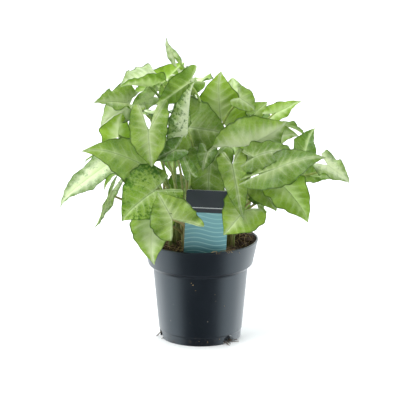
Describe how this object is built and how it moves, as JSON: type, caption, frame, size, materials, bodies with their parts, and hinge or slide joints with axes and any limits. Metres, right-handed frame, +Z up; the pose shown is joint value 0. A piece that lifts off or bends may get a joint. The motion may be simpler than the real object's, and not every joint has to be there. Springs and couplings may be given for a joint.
{
  "type": "arrowhead plant in a nursery pot",
  "caption": "Bushy arrowhead plant with pale-marked green leaves on long stalks, growing in a dark round plastic nursery pot with a plain plant label.",
  "frame": {"origin": "middle of the pot's underside, on the surface that it stands on", "axes": "+Z up; -Y towards the plant's front, where the label stands; +X to the right as seen from the front"},
  "size_m": [0.2994, 0.2131, 0.3157],
  "materials": {
    "pot_plastic": "satin",
    "potting_mix": "matte",
    "label_plastic": "satin",
    "leaf": "satin"
  },
  "bodies": {
    "root": {"pot": "pot_plastic", "soil": "potting_mix", "label": "label_plastic", "stem_front_left": "leaf", "stem_front": "leaf", "stem_left": "leaf", "stem_centre": "leaf", "stem_front_centre": "leaf", "stem_front_right": "leaf", "stem_right": "leaf", "stem_back_centre": "leaf", "stem_back_right": "leaf", "stem_back_left": "leaf", "stem_far_left": "leaf"}
  },
  "joints": []
}
